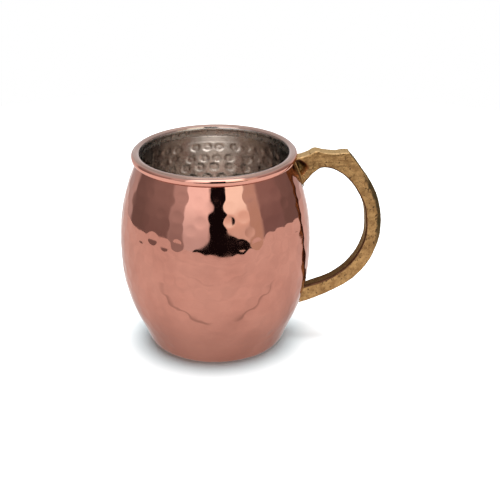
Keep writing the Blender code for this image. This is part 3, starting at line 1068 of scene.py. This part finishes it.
def add_world():
    """White to the eye. Polished metal mirrors a bright tent, and the rest gets a light that leans aside."""
    world = bpy.data.worlds.new("studio")
    bpy.context.scene.world = world
    world.use_nodes = True
    world.node_tree.nodes.clear()
    nodes = Nodes(world.node_tree)
    turned = nodes.add("ShaderNodeVectorRotate", rotation_type="Z_AXIS")
    nodes.put(turned.inputs["Vector"], nodes.add("ShaderNodeTexCoord").outputs["Generated"])
    turned.inputs["Angle"].default_value = -CAMERA_AZIMUTH
    direction = turned.outputs[0]

    mirrored = nodes.add("ShaderNodeBackground")
    nodes.put(mirrored.inputs["Color"], add_tent(nodes, direction))
    mirrored.inputs["Strength"].default_value = TABLE_LIGHT
    x, y, _ = nodes.parts(direction)
    leaning = nodes.math("ADD", nodes.times(x, AMBIENT * LEAN[0]), nodes.times(y, AMBIENT * LEAN[1]))
    ambient = nodes.add("ShaderNodeBackground")
    nodes.put(ambient.inputs["Strength"], nodes.math("ADD", leaning, AMBIENT))
    nodes.put(ambient.inputs["Color"], AMBIENT_COLOUR)
    seen = nodes.add("ShaderNodeBackground")
    nodes.put(seen.inputs["Color"], (1.0, 1.0, 1.0))
    rays = nodes.add("ShaderNodeLightPath").outputs
    lit = nodes.choose(rays["Is Glossy Ray"], ambient.outputs[0], mirrored.outputs[0])
    either = nodes.choose(rays["Is Camera Ray"], lit, seen.outputs[0])
    output = nodes.add("ShaderNodeOutputWorld")
    nodes.put(output.inputs["Surface"], either)


def add_overhead_light():
    """A wide light from above and a little behind. The metal mirrors the tent instead of it."""
    data = bpy.data.lights.new("overhead light", "SUN")
    data.energy = SUN_POWER
    data.angle = math.radians(SUN_ANGLE)
    light = bpy.data.objects.new("overhead light", data)
    light.location = SUN_FROM
    light.rotation_euler = Vector(SUN_FROM).to_track_quat("Z", "Y").to_euler()
    light.visible_glossy = False
    bpy.context.scene.collection.objects.link(light)


def table_material():
    """White, painted cyan near the mug against the pink light the copper throws on it. The metal mirrors it
    more evenly lit, with faint dark lines across its cover.
    """
    material = bpy.data.materials.new("white table")
    material.use_nodes = True
    nodes = Nodes(material.node_tree)
    place = nodes.add("ShaderNodeTexCoord").outputs["Object"]
    across, away, _ = nodes.parts(place)
    shader = material.node_tree.nodes["Principled BSDF"]
    from_mug = nodes.math("SQRT", nodes.math("ADD", nodes.times(across, across), nodes.times(away, away)))
    # Painted cyan near the mug, against the copper's pink bounce light.
    white = nodes.mix(nodes.fade(from_mug, *TABLE_PAINTED_TINT_FADE), *TABLE_PAINTED_TINT_COLOURS)
    nodes.put(shader.inputs["Base Color"], white)
    shader.inputs["Roughness"].default_value = TABLE_ROUGHNESS
    shader.inputs["Specular IOR Level"].default_value = TABLE_SPECULAR

    mottle = nodes.noise(nodes.stretched(place, MOTTLE_STRETCH), *MOTTLE_NOISE)
    colour = nodes.mix(nodes.fade(mottle, *MOTTLE_FADE), *MIRRORED_COLOURS)
    wander = nodes.times(nodes.math("SUBTRACT", nodes.noise(place, *DARK_LINE_NOISE), 0.5), DARK_LINE_WANDER)
    wandering = nodes.math("ADD", away, wander)
    shown = nodes.band(nodes.off(across, DARK_LINE_MIDDLE), DARK_LINE_GAP, DARK_LINE_ENDS)
    for where, width, darkness in TABLE_DARK_LINES:
        dark_line = nodes.fade(nodes.off(wandering, where), 0.0, width, darkness, 0.0)
        colour = nodes.mix(nodes.times(dark_line, shown), colour, DARK_LINE_COLOUR)
    softened = nodes.add("ShaderNodeBsdfDiffuse")
    nodes.put(softened.inputs["Color"], nodes.mix(1.0 - TABLE_SHARE, colour, (0.0, 0.0, 0.0)))
    glow = nodes.add("ShaderNodeEmission")
    nodes.put(glow.inputs["Color"], colour)
    glow.inputs["Strength"].default_value = TABLE_GLOW
    both = nodes.add("ShaderNodeAddShader")
    nodes.put(both.inputs[0], softened.outputs[0])
    nodes.put(both.inputs[1], glow.outputs[0])
    to_metal = nodes.add("ShaderNodeLightPath").outputs["Is Glossy Ray"]
    output = material.node_tree.nodes["Material Output"]
    nodes.put(output.inputs["Surface"], nodes.choose(to_metal, shader.outputs[0], both.outputs[0]))
    return material


def add_table():
    """A table under the mug, cut to the outline that the metal mirrors."""
    outline = smooth_run([*TABLE_EDGE, TABLE_EDGE[0]], TABLE_SPAN_STEPS)[:-1]
    mesh = bpy.data.meshes.new("table")
    mesh.from_pydata([(x, y, 0.0) for x, y in outline], [], [list(range(len(outline)))])
    table = bpy.data.objects.new("table", mesh)
    table.rotation_euler.z = CAMERA_AZIMUTH
    bpy.context.scene.collection.objects.link(table)
    mesh.materials.append(table_material())


def main():
    """The studio first, then the pieces, each riding on the mug's one body in place of its CAD node."""
    bpy.context.scene.view_settings.view_transform = "Standard"
    add_camera()
    add_world()
    add_table()
    add_overhead_light()

    blows = hammer_blows()
    brass = brass_material()
    pieces = [
        (make_copper(copper_material(), blows), "copper_body", "copper"),
        (make_lining(tin_material(), blows), "lining", "tin"),
        (make_handle(brass), "handle", "brass"),
    ]
    for piece, node, slot in pieces:
        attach(piece, BODY)
        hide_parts(node)
    wire = wire_material()
    for node, material in (("rim_wire", wire), ("upper_braze", brass), ("lower_braze", brass)):
        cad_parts[node].material_slots[0].material = material


main()
bpy.context.view_layer.update()
